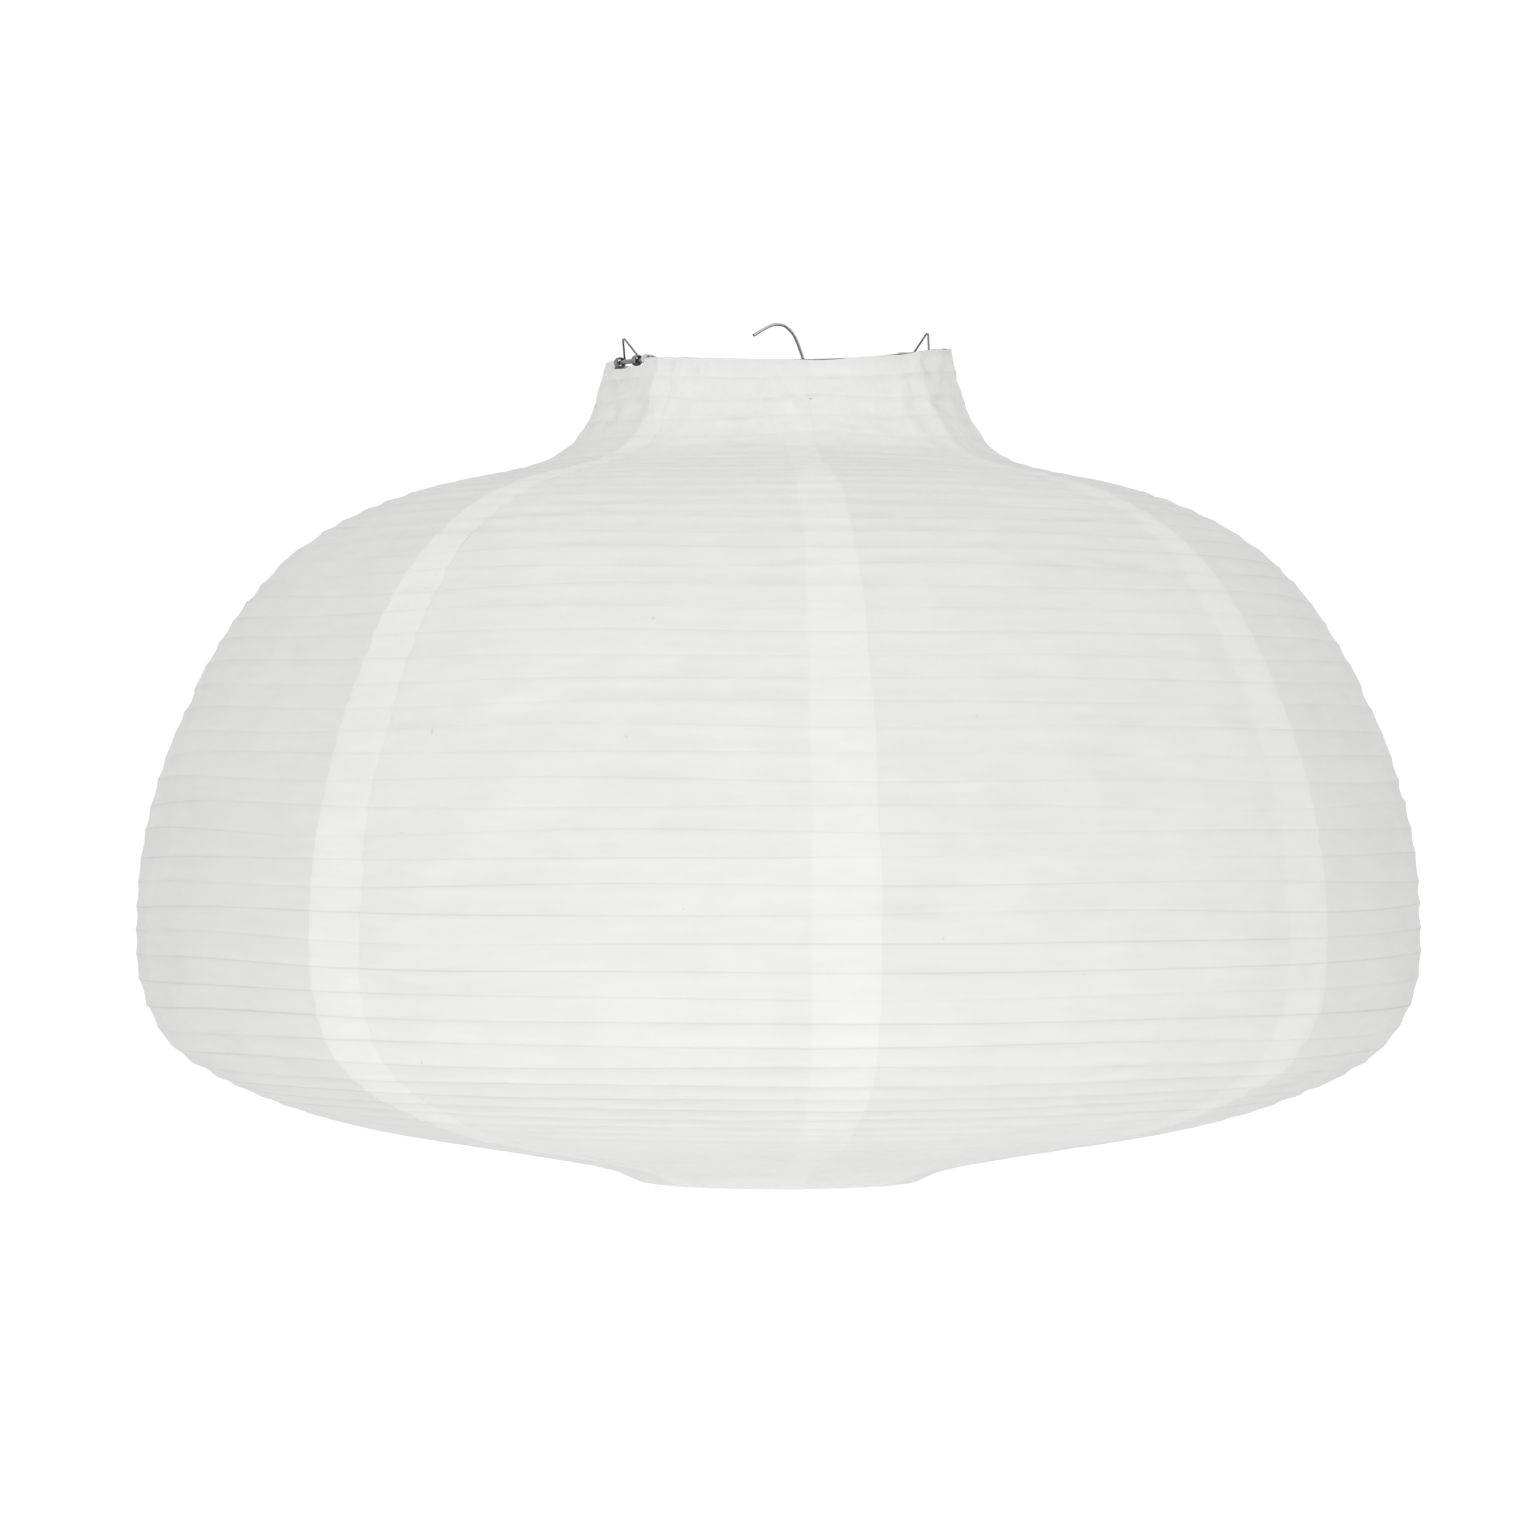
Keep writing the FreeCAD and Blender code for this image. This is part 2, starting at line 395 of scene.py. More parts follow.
# --- noise
class SmoothNoise:
    """Repeatable smooth noise from sums of waves, periodic round the shade."""

    def __init__(self, seed: int, waves: int, low: int, high: int) -> None:
        """Draws the waves.

        Args:
            seed: fixes the pattern.
            waves: how many waves are added.
            low: fewest cycles round the shade.
            high: most cycles round the shade.
        """
        rng = np.random.default_rng(seed)
        self._turns = rng.integers(low, high + 1, waves)
        self._along = rng.normal(0.0, 1.0, waves)
        self._phase = rng.uniform(0.0, 2 * math.pi, waves)
        self._gain = math.sqrt(2.0 / waves)

    def __call__(self, angle: Array, along: Array) -> Array:
        """Reads the noise.

        Args:
            angle: radians round the shade.
            along: distance in noise units along the paper.

        Returns:
            Values with a spread of about 1.
        """
        total = np.zeros(np.broadcast(angle, along).shape)
        for turns, rate, phase in zip(self._turns, self._along, self._phase):
            total = total + np.sin(turns * angle + rate * along * 2 * math.pi + phase)
        return total * self._gain


# --- node helpers
class NodeGraph:
    """Small helper that adds and links nodes in one tree."""

    def __init__(self, tree: bpy.types.NodeTree) -> None:
        """Keeps the tree.

        Args:
            tree: the node tree to build in.
        """
        self.tree = tree

    def link(self, source: object, target: Socket) -> None:
        """Feeds an input from a socket, or sets it to a value.

        Args:
            source: output socket or plain value.
            target: input socket.
        """
        if isinstance(source, Socket):
            self.tree.links.new(source, target)
        else:
            target.default_value = source

    def add(self, kind: str, feeds: Optional[Dict[object, object]] = None,
            **settings: object) -> bpy.types.Node:
        """Adds a node.

        Args:
            kind: the node's type name.
            feeds: what goes into its inputs, by name or place.
            settings: properties to set on it.

        Returns:
            The new node.
        """
        node = self.tree.nodes.new(kind)
        for name, value in settings.items():
            setattr(node, name, value)
        for key, source in (feeds or {}).items():
            self.link(source, node.inputs[key])
        return node

    def math(self, operation: str, a: object, b: object, clamp: bool = False) -> Socket:
        """Adds a maths node.

        Args:
            operation: the operation's name.
            a: first socket or number.
            b: second socket or number.
            clamp: limits the result to 0..1.

        Returns:
            The output socket.
        """
        return self.add("ShaderNodeMath", {0: a, 1: b}, operation=operation, use_clamp=clamp).outputs[0]

    def noise(self, vector: Socket, scale: float, detail: float,
              stretch: Sequence[float] = (1.0, 1.0, 1.0)) -> Socket:
        """Adds a noise texture.

        Args:
            vector: coordinates.
            scale: cycles per unit.
            detail: octaves.
            stretch: scale of each axis first.

        Returns:
            The noise factor socket.
        """
        mapping = self.add("ShaderNodeMapping", {"Scale": tuple(stretch), "Vector": vector})
        feeds = {"Scale": scale, "Detail": detail, "Vector": mapping.outputs[0]}
        return self.add("ShaderNodeTexNoise", feeds).outputs[0]

    def attribute(self, name: str) -> Socket:
        """Reads a number stored on the mesh.

        Args:
            name: the attribute's name.

        Returns:
            Its value.
        """
        return self.add("ShaderNodeAttribute", attribute_name=name).outputs["Fac"]

    def bump(self, height: Socket, strength: float, distance: float) -> Socket:
        """Adds a bump node.

        Args:
            height: height socket.
            strength: share of the bump that is used.
            distance: height in metres.

        Returns:
            The bent normal.
        """
        feeds = {"Strength": strength, "Distance": distance, "Height": height}
        return self.add("ShaderNodeBump", feeds).outputs[0]

    def spread(self, value: Socket, low: float, high: float,
               out_low: float, out_high: float) -> Socket:
        """Maps a range to another, clamped.

        Args:
            value: input socket.
            low: input's low end.
            high: input's high end.
            out_low: result at the low end.
            out_high: result at the high end.

        Returns:
            The result socket.
        """
        feeds = {"Value": value, "From Min": low, "From Max": high, "To Min": out_low, "To Max": out_high}
        return self.add("ShaderNodeMapRange", feeds).outputs[0]


# --- materials
class Material(ABC):
    """A finish that builds its own shader once."""

    def __init__(self, name: str) -> None:
        """Makes the material.

        Args:
            name: the material's name.
        """
        self.block = bpy.data.materials.new(name)
        self.block.use_nodes = True
        self.graph = NodeGraph(self.block.node_tree)
        self.shader = next(n for n in self.block.node_tree.nodes if n.type == "BSDF_PRINCIPLED")
        self.output = next(n for n in self.block.node_tree.nodes if n.type == "OUTPUT_MATERIAL")
        self.build()

    def feed(self, feeds: Dict[str, object]) -> None:
        """Sets inputs of the main shader.

        Args:
            feeds: socket or value for each input's name.
        """
        for name, source in feeds.items():
            self.graph.link(source, self.shader.inputs[name])

    @abstractmethod
    def build(self) -> None:
        """Adds the nodes."""


@dataclass(frozen=True)
class PaperLook:
    """Numbers of the paper's finish.

    Attributes:
        single: whiteness of one layer.
        lapped: whiteness of two layers.
        crease_shadow: how much darker the painted shadow on a crease is.
        crease_width: half width of a crease, in folds.
        see_through: share of light that goes through.
        cloud: tone range of the cloudy thickness.
        fibre: tone range of the long fibres.
        shade_band: tone range of the soft painted shading bands across the gore, placed at random.
        painted_shade_under_hoop: painted shade just under a hoop.
        painted_light_over_hoop: painted light just over the next hoop.
        smooth_from: fold from which the underside is smooth.
        smooth_lift: tone added to the smooth underside.
    """

    single: float = 0.866
    lapped: float = 0.877
    crease_shadow: float = 0.13
    crease_width: float = 0.05
    see_through: float = 0.22
    roughness: float = 0.8
    cloud: Tuple[float, float] = (-0.012, 0.012)
    fibre: Tuple[float, float] = (-0.010, 0.010)
    shade_band: Tuple[float, float] = (-0.007, 0.006)
    speck: float = 0.09
    painted_shade_under_hoop: float = -0.015
    painted_light_over_hoop: float = 0.012
    tint: Tuple[float, float, float] = (1.0, 0.999, 0.992)
    bump_m: float = 0.0001
    bump_strength: float = 0.5
    smooth_from: float = 41.0
    smooth_over: float = 3.0
    smooth_lift: float = 0.02


class RicePaper(Material):
    """White rice paper with long fibres, cloudy thickness and a few specks, and painted shade on its creases
    and folds.
    """

    look = PaperLook()

    def _painted_crease_shadows(self, sheet: Socket) -> Socket:
        """Thin painted shadow lines along the hoops' creases, broken up along their length.

        Args:
            sheet: coordinates on the sheet.

        Returns:
            Strength of the line, 0 to 1.
        """
        g, look = self.graph, self.look
        folds = g.attribute("folds")
        centred = g.math("FRACT", g.math("ADD", folds, 0.5), 0.0)
        away = g.math("ABSOLUTE", g.math("SUBTRACT", centred, 0.5), 0.0)
        line = g.spread(away, 0.0, look.crease_width, 1.0, 0.0)
        broken = g.spread(g.noise(sheet, 36.0, 3.0, (0.14, 2.2, 1.0)), 0.40, 0.62, 0.12, 1.0)
        low = g.spread(folds, 27.0, 35.0, 0.30, 1.0)
        calm = g.spread(folds, look.smooth_from, look.smooth_from + look.smooth_over, 1.0, 0.06)
        low = g.math("MULTIPLY", low, calm)
        return g.math("MULTIPLY", g.math("MULTIPLY", line, broken), low)

    def _painted_fold_shade(self, sheet: Socket) -> Socket:
        """Painted shade and light in each fold: a little greyer just under its hoop and paler just above the
        next.

        Args:
            sheet: coordinates on the sheet.

        Returns:
            Tone to add.
        """
        g, look = self.graph, self.look
        folds = g.attribute("folds")
        place = g.math("FRACT", folds, 0.0)
        under = g.spread(place, 0.0, 0.34, look.painted_shade_under_hoop, 0.0)
        over = g.spread(place, 0.60, 0.96, 0.0, look.painted_light_over_hoop)
        patchy = g.spread(g.noise(sheet, 30.0, 2.0, (0.2, 2.0, 1.0)), 0.36, 0.64, 0.35, 1.3)
        calm = g.spread(folds, look.smooth_from, look.smooth_from + look.smooth_over, 1.0, 0.1)
        return g.math("MULTIPLY", g.math("MULTIPLY", g.math("ADD", under, over), patchy), calm)

    def build(self) -> None:
        """Builds the paper: laps and folds come from the mesh, fibres from its own sheet coordinates."""
        g, look = self.graph, self.look
        sheet = g.add("ShaderNodeUVMap", uv_map="sheet").outputs[0]
        body = g.add("ShaderNodeTexCoord").outputs["Object"]
        lap, folds = g.attribute("lap"), g.attribute("folds")
        cloud = g.noise(body, 30.0, 4.0)
        fibre = g.noise(sheet, 240.0, 5.0, (0.25, 1.0, 1.0))
        cross = g.noise(sheet, 300.0, 4.0, (1.0, 0.25, 1.0))
        # Painted shade: soft random bands across the gore stand in for the shading of unevenly tilted folds.
        shade_band = g.noise(sheet, 95.0, 2.0, (0.07, 1.0, 1.0))
        speck = g.spread(g.noise(body, 300.0, 0.0), 0.885, 0.93, 0.0, look.speck)
        tone = g.spread(lap, 0.0, 1.0, look.single, look.lapped)
        for part in (
            g.spread(cloud, 0.3, 0.7, *look.cloud),
            g.spread(fibre, 0.3, 0.7, *look.fibre),
            g.spread(shade_band, 0.35, 0.65, *look.shade_band),
            # Painted shade and light within each fold.
            self._painted_fold_shade(sheet),
            g.attribute("tone"),
            g.spread(folds, look.smooth_from, look.smooth_from + 5.0, 0.0, look.smooth_lift),
        ):
            tone = g.math("ADD", tone, part)
        # Painted shadow: the crease lines are darkened into the paper's colour.
        tone = g.math("SUBTRACT", tone, g.math("MULTIPLY", self._painted_crease_shadows(sheet), look.crease_shadow))
        tone = g.math("SUBTRACT", tone, speck, clamp=True)
        tinted = {place: g.math("MULTIPLY", tone, gain) for place, gain in enumerate(look.tint)}
        colour = g.add("ShaderNodeCombineColor", tinted)
        height = g.math("ADD", g.math("MULTIPLY", fibre, 0.6), g.math("MULTIPLY", cross, 0.4))
        normal = g.bump(height, look.bump_strength, look.bump_m)
        self.feed({
            "Specular IOR Level": 0.25, "Sheen Weight": 0.08, "Sheen Roughness": 0.6,
            "Base Color": colour.outputs[0], "Normal": normal,
            "Roughness": g.spread(cross, 0.3, 0.7, look.roughness - 0.06, look.roughness + 0.08),
        })
        through = g.add("ShaderNodeBsdfTranslucent", {"Color": colour.outputs[0], "Normal": normal})
        share = g.spread(lap, 0.0, 1.0, look.see_through, look.see_through * 0.86)
        mix = g.add("ShaderNodeMixShader", {0: share, 1: self.shader.outputs[0], 2: through.outputs[0]})
        g.link(mix.outputs[0], self.output.inputs["Surface"])


class DrawnSteel(Material):
    """Drawn steel wire: fine lines and dull patches."""

    def __init__(self, name: str, grey: float, roughness: float) -> None:
        """Makes the wire finish.

        Args:
            name: material name.
            grey: brightness of the metal.
            roughness: mean roughness.
        """
        self.grey = grey
        self.roughness = roughness
        super().__init__(name)

    def build(self) -> None:
        """Builds the metal with grain, dull patches and a little bump."""
        g = self.graph
        body = g.add("ShaderNodeTexCoord").outputs["Object"]
        grain = g.noise(body, 1800.0, 2.0)
        patch = g.noise(body, 140.0, 3.0)
        tone = g.spread(patch, 0.3, 0.7, self.grey - 0.06, self.grey + 0.05)
        tone = g.math("ADD", tone, g.spread(grain, 0.3, 0.7, -0.03, 0.03))
        colour = g.add("ShaderNodeCombineColor", {0: tone, 1: tone, 2: tone})
        self.feed({
            "Base Color": colour.outputs[0], "Metallic": 1.0, "Normal": g.bump(grain, 0.25, 0.00003),
            "Roughness": g.spread(patch, 0.3, 0.7, self.roughness - 0.08, self.roughness + 0.12),
        })


@dataclass
class Palette:
    """Every finish of the lantern."""

    paper: Material = field(default_factory=lambda: RicePaper("rice_paper"))
    hoop: Material = field(default_factory=lambda: DrawnSteel("hoop_steel", 0.55, 0.42))
    ring: Material = field(default_factory=lambda: DrawnSteel("ring_steel", 0.26, 0.36))
    ear: Material = field(default_factory=lambda: DrawnSteel("ear_steel", 0.24, 0.42))
    frame: Material = field(default_factory=lambda: DrawnSteel("frame_steel", 0.6, 0.38))


# --- sub-assemblies
class PaperShade:
    """The eight paper gores with their glued laps."""

    plain_columns = 45
    lap_columns = 11
    rows_per_fold = 6
    sheet_radius = 0.24

    def __init__(self, profile: ShadeProfile, size: ShadeSize, crease: CreaseSize, lap: LapSize) -> None:
        """Keeps the sizes and draws the noise.

        Args:
            profile: section curve.
            size: shade sizes.
            crease: unevenness of the paper.
            lap: glued lap sizes.
        """
        self.profile, self.size, self.crease, self.lap = profile, size, crease, lap
        seed = crease.seed
        self.hoop_noise = SmoothNoise(seed, 10, 1, 9)
        self.sag_noise = SmoothNoise(seed + 1, 14, 3, 40)
        self.ripple_noise = SmoothNoise(seed + 2, 22, 20, 120)
        self.neck_noise = SmoothNoise(seed + 3, 18, 5, 34)
        self.rim_noise = SmoothNoise(seed + 4, 8, 2, 14)
        self.edge_noise = SmoothNoise(seed + 5, 16, 1, 3)

    def _rows(self) -> Tuple[Array, Array, Array]:
        """Distances of the mesh rows along the paper.

        Returns:
            (distance, place within the fold 0..1, fold number) per row.
        """
        marks = np.concatenate([[0.0], self.profile.hoop_marks(), [self.profile.length]])
        places = np.arange(self.rows_per_fold) / self.rows_per_fold
        fold = np.repeat(np.arange(len(marks) - 1), self.rows_per_fold)
        place = np.tile(places, len(marks) - 1)
        s = marks[fold] + place * (marks[fold + 1] - marks[fold])
        return (
            np.append(s, marks[-1]),
            np.append(place, 1.0),
            np.append(fold, len(marks) - 2),
        )

    def _rim_cut(self, angle: Array) -> Array:
        """How far the rim is cut down at each angle from an ear, in millimetres.

        Args:
            angle: radians from the ear about the axis.

        Returns:
            Depth of the cut.
        """
        size = self.size
        across = angle * size.stations[0][0]
        near = np.clip((across + size.notch_near) / size.notch_near_slope, 0, 1)
        far = np.clip((size.notch_far - across) / size.notch_far_slope, 0, 1)
        rise = near * far
        return (size.notch_depth + size.rim_above) * rise * rise * (3 - 2 * rise)

    def _lap_width(self, s: Array) -> Array:
        """Width of the lap across the seam, in millimetres.

        Args:
            s: distances along the paper.

        Returns:
            Widths.
        """
        lap, radius = self.lap, self.profile.at(s)[..., 0]
        share = np.clip((radius - lap.neck_radius) / (lap.belly_radius - lap.neck_radius), 0.0, 1.0)
        # Two unlike cuts through the noise, at fixed angles, give the slow and the quick waves.
        slow = self.edge_noise(np.full_like(s, 0.3), s / lap.slow_pitch)
        quick = self.edge_noise(np.full_like(s, 1.9), s / lap.quick_pitch)
        edge = lap.slow_gain * slow + lap.quick_gain * quick
        return lap.narrowest + (lap.widest - lap.narrowest) * share + lap.edge_wander * edge

    def _surface(self, angle: Array, s: Array, place: Array,
                 fold: Array) -> Tuple[Array, Array]:
        """Points of the folded paper and the unit normals out of it.

        Args:
            angle: radians about the axis, per vertex.
            s: distance along the paper, per vertex.
            place: place within the fold, per vertex.
            fold: fold number, per vertex.

        Returns:
            (radius and z, normal in that plane), each of shape (..., 2).
        """
        profile, crease = self.profile, self.crease
        marks = np.concatenate([[0.0], profile.hoop_marks(), [profile.length]])
        above, below = (
            self.hoop_noise(angle, marks[line] / crease.wander_pitch + crease.wander_step * line)
            for line in (fold, fold + 1)
        )
        wander = crease.hoop_wander * (above * (1 - place) + below * place)
        wander = wander * np.clip(s / crease.wander_rim, 0, 1)
        wander = wander * np.clip((profile.length - s) / crease.wander_hem, 0, 1)
        top, low = profile.at(marks[fold]), profile.at(marks[fold + 1])
        flat = top + (low - top) * place[..., None]
        along = low - top
        along = along / np.maximum(np.linalg.norm(along, axis=-1, keepdims=True), 1e-9)
        normal = np.stack([-along[..., 1], along[..., 0]], axis=-1)
        span = np.clip((marks[fold + 1] - marks[fold]) / self.size.hoop_pitch, 0, crease.sag_most)
        belly = 4 * place * (1 - place)
        calm = 1 - crease.calm_share * np.clip((s - crease.smooth_from) / crease.calm_over, 0, 1)
        spread = 1 + crease.sag_spread * self.sag_noise(angle, fold * crease.sag_step)
        sag = crease.sag * calm * spread * belly * span
        ripple = crease.ripple * self.ripple_noise(angle, s / crease.ripple_pitch)
        ripple = ripple * (crease.ripple_at_hoop + (1 - crease.ripple_at_hoop) * belly)
        neck = np.clip((crease.neck_end - s) / crease.neck_fade, 0, 1) * np.clip(s / crease.neck_rim, 0, 1)
        crumple = crease.neck_crumple * self.neck_noise(angle, s / crease.neck_pitch) * neck
        out = ripple + crumple * (crease.crumple_at_hoop + (1 - crease.crumple_at_hoop) * belly) - sag
        return flat + normal * out[..., None] + along * wander[..., None], normal

    def _tones(self, number: int, s: Array, doubled: Array) -> Tuple[Array, Array]:
        """Whiteness of one gore, with its painted light and shade, and how clearly its lap shows.

        Args:
            number: 1 to 8, as the frame counts them.
            s: distance along the paper, per vertex.
            doubled: 1 where the paper is doubled, else 0.

        Returns:
            (tone to add, strength of the lap), per vertex.
        """
        tones = GoreToneAndShade()
        neck = np.clip((tones.neck_end - s) / tones.neck_fade, 0, 1)
        own, following = (
            tones.body[i] * (1 - neck) + tones.neck[i] * neck for i in (number - 1, number % self.size.gores)
        )
        fade = np.clip((s - tones.lap_from) / tones.lap_in, 0, 1)
        fade = fade * np.clip((self.profile.length - tones.lap_to - s) / tones.lap_out, 0, 1)
        lap = doubled * (tones.lap_least + (1 - tones.lap_least) * fade)
        return np.where(doubled > 0, np.maximum(own, following), own), lap

    def build_gore(self, number: int, material: Material) -> Piece:
        """Builds one gore as a thin closed sheet with its lap over the next gore.

        Args:
            number: 1 to 8, as the frame counts them.
            material: paper finish.

        Returns:
            The mesh object.
        """
        size = self.size
        half = math.pi / size.gores
        centre = math.radians(size.first_gore_deg) + (number - 1) * 2 * half
        s, place, fold = self._rows()
        reach = self._lap_width(s)[:, None] / self.profile.at(s)[:, :1] / 2
        share = np.linspace(0.0, 1.0, self.plain_columns)[None, :]
        lap_share = np.linspace(0.0, 1.0, self.lap_columns)[None, :]
        # The hidden edge tucks just behind the lap that covers it; the lap runs on past the seam.
        lap = self.lap
        near, far, end = reach - half - lap.tuck_angle, half - reach, half + reach
        plain = near + share * (far - lap.crisp_angle - near)
        angle = np.concatenate([plain, far + lap_share * 2 * reach], axis=1)
        cols = angle.shape[1]
        doubled = np.zeros_like(angle)
        doubled[:, self.plain_columns:] = 1.0
        s2, place2, fold2 = (np.repeat(v[:, None], cols, axis=1) for v in (s, place, fold))
        turn = angle + centre
        # The rim's unevenness and the cuts at the ears only move the first fold's rows.
        rim = self.crease.rim_wander * self.rim_noise(turn, 0.0)
        if number in (1, 1 + size.gores // 2):
            rim = np.maximum(rim, self._rim_cut(angle))
        start = np.where(fold2 == 0, np.clip(rim, 0, None) * (1 - place2), 0.0)
        s2 = s2 + start
        place2 = np.where(fold2 == 0, s2 / size.first_hoop, place2)
        points, normal = self._surface(turn, s2, place2, fold2)
        lift = np.clip(1 - (far - angle) / lap.rise_angle, 0, 1)
        # The glued edge of the lap comes down to the paper under it.
        lift = lift * np.clip((end - angle) / lap.glue_angle, 0, 1) - lap.glue_sink * (angle > end - 1e-6)
        under = np.clip(1 - (angle - near) / lap.under_angle, 0, 1)
        outer = points + normal * (lap.proud * lift - lap.hidden_sink * under)[..., None]
        outer[..., 1] += size.rim_lift(turn, s2)
        inner = outer - normal * size.paper
        # The tone holds painted light and shade: gores facing the camera lighter, gores at its edges darker.
        tone, shown = self._tones(number, s2, doubled)
        marks = {"lap": shown, "folds": fold2 + place2, "tone": tone}
        return self._mesh(f"gore_{number}", turn, outer, inner, marks, s2, material)

    def _mesh(self, name: str, turn: Array, outer: Array, inner: Array,
              marks: Dict[str, Array], s: Array, material: Material) -> Piece:
        """Makes the closed sheet from its two sides.

        Args:
            name: object name.
            turn: angle of each grid point.
            outer: radius and z of the outer side in millimetres.
            inner: the same of the inner side.
            marks: numbers stored on the mesh: "lap", how clearly doubled paper shows; "folds", a whole
                number on each hoop line; "tone", whiteness added to the paper's own.
            s: distance along the paper.
            material: paper finish.

        Returns:
            The mesh object.
        """
        rows, cols = turn.shape
        sides = []
        for grid in (outer, inner):
            x, y = grid[..., 0] * np.cos(turn), grid[..., 0] * np.sin(turn)
            sides.append(np.stack([x, y, grid[..., 1]], axis=-1).reshape(-1, 3))
        verts = np.concatenate(sides) * MM
        index = np.arange(rows * cols).reshape(rows, cols)
        a, b, c, d = index[:-1, :-1], index[1:, :-1], index[1:, 1:], index[:-1, 1:]
        front = np.stack([a, b, c, d], axis=-1).reshape(-1, 4)
        back = front[:, ::-1] + rows * cols
        border = np.concatenate([index[:, 0], index[-1, 1:], index[-2::-1, -1], index[0, -2:0:-1]])
        nxt = np.roll(border, -1)
        edge = np.stack([nxt, border, border + rows * cols, nxt + rows * cols], axis=-1)
        faces = np.concatenate([front, back, edge])
        mesh = bpy.data.meshes.new(name)
        mesh.from_pydata(verts.tolist(), [], faces.tolist())
        for label, values in marks.items():
            layer = mesh.attributes.new(label, "FLOAT", "POINT")
            layer.data.foreach_set("value", np.tile(values.ravel(), 2).astype(np.float32))
        flat = np.stack([turn * self.sheet_radius, s * MM], axis=-1).reshape(-1, 2)
        flat = np.concatenate([flat, flat])
        loops = np.zeros(len(mesh.loops), np.int64)
        mesh.loops.foreach_get("vertex_index", loops)
        uv = mesh.uv_layers.new(name="sheet")
        uv.data.foreach_set("uv", flat[loops].astype(np.float32).ravel())
        shade_smooth(mesh)
        rim = np.zeros(len(verts), bool)
        rim[np.concatenate([border, border + rows * cols])] = True
        ends = np.zeros(len(mesh.edges) * 2, np.int64)
        mesh.edges.foreach_get("vertices", ends)
        sharp = mesh.attributes.new("sharp_edge", "BOOLEAN", "EDGE")
        sharp.data.foreach_set("value", rim[ends.reshape(-1, 2)].all(axis=1))
        mesh.materials.append(material.block)
        mesh.update()
        return add_object(name, mesh)

    def build(self, material: Material) -> List[Piece]:
        """Builds every gore and joins it to the frame.

        Args:
            material: paper finish.

        Returns:
            The gores.
        """
        gores = []
        for number in range(1, self.size.gores + 1):
            gore = self.build_gore(number, material)
            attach(gore, "frame")
            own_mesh(gore)
            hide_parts(f"paper_gore_{number}")
            gores.append(gore)
        return gores


